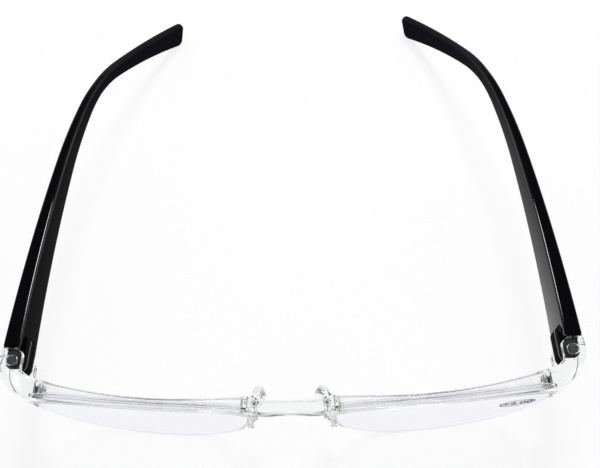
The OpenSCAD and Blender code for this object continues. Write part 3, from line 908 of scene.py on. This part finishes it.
class GLASSES_OT_label(Dresser):
    """Makes the oval strength label with its ring and plain number"""

    bl_idname = "glasses.label"
    bl_label = "Strength label"

    def execute(self, context):
        lens = context.scene.glasses_lens
        centre = (LABEL_LOW.x + LABEL_HIGH.x) / 2, (LABEL_LOW.z + LABEL_HIGH.z) / 2
        half_x, half_z = (LABEL_HIGH.x - LABEL_LOW.x) / 2, (LABEL_HIGH.z - LABEL_LOW.z) / 2
        back = lens.thickness / 2 + lens.film_gap
        front = back + lens.film_thickness
        film = label_coat("label_film", lens.film, lens.film_clear)
        ink = label_coat("label_ink", lens.ink, 0.0)
        swept_piece("strength_film", oval_plate(lens, centre, half_x, half_z, back, front), 1,
                    "front", ["strength_label"], film)
        ring = oval_plate(lens, centre, lens.ring_at * half_x, lens.ring_at * half_z, front,
                          front + lens.ink_thickness, inner=1 - 2 * lens.ring / half_x)
        swept_piece("strength_ring", ring, 1, "front", [], ink)
        self.print_number(lens, centre, front + lens.ink_thickness / 2, ink)
        return {"FINISHED"}

    def print_number(self, lens, centre, forward, ink):
        """The number as thin raised ink: a text solid laid on the lens's wrap, its middle at forward."""
        text = bpy.data.curves.new("number", "FONT")
        text.body = lens.number
        text.size = lens.digits
        text.align_x, text.align_y = "CENTER", "CENTER"
        text.extrude = lens.ink_thickness / 2
        text.offset = lens.stroke
        holder = linked("number", text)
        mesh = bpy.data.meshes.new_from_object(holder.evaluated_get(bpy.context.evaluated_depsgraph_get()))
        bpy.data.objects.remove(holder)
        x, z, out = mesh_points(mesh).T
        placed = on_lens(lens, centre[0] + x, centre[1] + z, forward + out)
        mesh.vertices.foreach_set("co", np.ascontiguousarray(placed, np.float32).ravel())
        mesh.name = "strength_number"
        piece("strength_number", closed(mesh), "front", [], ink)


def lamp(name, place, target, width, height, watts):
    """A soft rectangular lamp that looks at a target."""
    data = bpy.data.lights.new(name, "AREA")
    data.shape = "RECTANGLE"
    data.size, data.size_y = width, height
    data.energy = watts
    obj = linked(name, data)
    obj.location = place
    obj.rotation_euler = (Vector(target) - Vector(place)).to_track_quat("-Z", "Y").to_euler()


def background_mask(tree):
    """1 for camera, glossy and transmission rays, which see the white background."""
    path = add(tree, "ShaderNodeLightPath").outputs
    seen = maths(tree, "MAXIMUM", path["Is Camera Ray"], path["Is Glossy Ray"])
    return maths(tree, "MAXIMUM", seen, path["Is Transmission Ray"])


class GLASSES_OT_stage(Dresser):
    """Makes the pale floor, the room, the soft lamp and the camera"""

    bl_idname = "glasses.stage"
    bl_label = "Stage"

    def execute(self, context):
        stage = context.scene.glasses_stage
        self.make_floor(stage)
        self.make_room(context.scene, stage)
        lamp("strip_lamp", place=(0.05, 0.26, 0.58), target=(0, 0, 0), width=0.18, height=0.10, watts=1.5)
        self.make_camera(context.scene, stage)
        context.scene.view_settings.view_transform = "Standard"
        return {"FINISHED"}

    def make_floor(self, stage):
        """A round floor: rings about the middle, whose radius grows as a square."""
        rings, around = 9, 96
        radius = np.linspace(0, 1, rings)[:, None] ** 2 * np.full(around, stage.floor)
        points = about_z(radius, 0.0).reshape(-1, 3)
        mesh = merged(plain_mesh("floor", points, grid_faces(rings, around)))
        obj = linked("floor", mesh)
        material, tree, output, place = new_material("pale_floor")
        wear = marks(tree, place, per_metre=6.0, clean=0.55, marked=0.65)
        seen = background_mask(tree)
        shaded = [stage.floor_shade * c for c in stage.floor_colour]
        surface(tree, output, {
            "Base Color": mixed(tree, seen, stage.floor_colour, shaded),
            "Roughness": wear["Roughness"],
            "Specular IOR Level": 0.0,
            "Emission Color": (1.0, 1.0, 1.0, 1.0),
            "Emission Strength": maths(tree, "MULTIPLY", seen, stage.floor_glow),
        })
        mesh.materials.append(material)

    def make_room(self, scene, stage):
        """White at the horizon and darker overhead for gloss and clear pieces, white for the camera, and an
        even fill for the rest."""
        world = bpy.data.worlds.new("studio")
        scene.world = world
        world.use_nodes = True
        tree = world.node_tree
        tree.nodes.clear()
        place = add(tree, "ShaderNodeTexCoord").outputs["Generated"]
        up = add(tree, "ShaderNodeSeparateXYZ", {"Vector": place}).outputs["Z"]
        path = add(tree, "ShaderNodeLightPath").outputs
        levels = {"Value": background_mask(tree), "To Min": stage.fill, "To Max": stage.horizon}
        low = add(tree, "ShaderNodeMapRange", levels).outputs[0]
        clear = path["Is Transmission Ray"]
        # A ray that leaves a clear piece counts as glossy too
        gloss = maths(tree, "SUBTRACT", path["Is Glossy Ray"], clear, use_clamp=True)
        high = low
        for ray, ceiling in ((gloss, stage.ceiling), (clear, stage.clear_ceiling)):
            high = maths(tree, "SUBTRACT", high, maths(tree, "MULTIPLY", ray, stage.horizon - ceiling))
        fade = {"Value": up, "From Min": ROOM_FADE[0], "From Max": ROOM_FADE[1],
                "To Min": low, "To Max": high}
        level = add(tree, "ShaderNodeMapRange", fade, interpolation_type="SMOOTHSTEP").outputs[0]
        sky = add(tree, "ShaderNodeBackground", {"Color": (1.0, 1.0, 1.0, 1.0), "Strength": level})
        add(tree, "ShaderNodeOutputWorld", {"Surface": sky.outputs[0]})

    def make_camera(self, scene, stage):
        """A camera turned by yaw about Z, tipped down by pitch, and rolled about its view."""
        data = bpy.data.cameras.new("camera")
        data.lens = stage.focal
        data.clip_start, data.clip_end = 0.01, 20.0
        camera = linked("camera", data)
        camera.matrix_world = (
            Matrix.Translation((stage.camera_x, stage.camera_y, stage.camera_z))
            @ Matrix.Rotation(stage.yaw, 4, "Z")
            @ Matrix.Rotation(math.pi / 2 - stage.pitch, 4, "X")
            @ Matrix.Rotation(stage.roll, 4, "Z")
        )
        scene.camera = camera


class GLASSES_PT_sidebar(bpy.types.Panel):
    """Buttons for the pieces, and their sizes and colours."""

    bl_label = "Reading glasses"
    bl_idname = "GLASSES_PT_sidebar"
    bl_space_type = "VIEW_3D"
    bl_region_type = "UI"
    bl_category = "Glasses"

    def draw(self, context):
        for operator in PIECES:
            self.layout.operator(operator.bl_idname)
        for name in GROUPS:
            values = getattr(context.scene, name)
            box = self.layout.box()
            for key in values.__annotations__:
                box.prop(values, key)


PIECES = (
    GLASSES_OT_clear_front,
    GLASSES_OT_lenses,
    GLASSES_OT_threads,
    GLASSES_OT_nose_pads,
    GLASSES_OT_temples,
    GLASSES_OT_hardware,
    GLASSES_OT_label,
    GLASSES_OT_stage,
)
GROUPS = {
    "glasses_front": FrontSettings,
    "glasses_lens": LensSettings,
    "glasses_temple": TempleSettings,
    "glasses_stage": StageSettings,
}


def register():
    for cls in (*GROUPS.values(), *PIECES, GLASSES_PT_sidebar):
        bpy.utils.register_class(cls)
    for name, cls in GROUPS.items():
        setattr(bpy.types.Scene, name, bpy.props.PointerProperty(type=cls))


def unregister():
    for name in GROUPS:
        delattr(bpy.types.Scene, name)
    for cls in reversed((*GROUPS.values(), *PIECES, GLASSES_PT_sidebar)):
        bpy.utils.unregister_class(cls)


def main():
    """Registers the add-on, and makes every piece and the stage."""
    register()
    bpy.ops.glasses.clear_front()
    bpy.ops.glasses.lenses()
    bpy.ops.glasses.threads()
    bpy.ops.glasses.nose_pads()
    bpy.ops.glasses.temples()
    bpy.ops.glasses.hardware()
    bpy.ops.glasses.label()
    bpy.ops.glasses.stage()


if __name__ == "__main__":
    main()
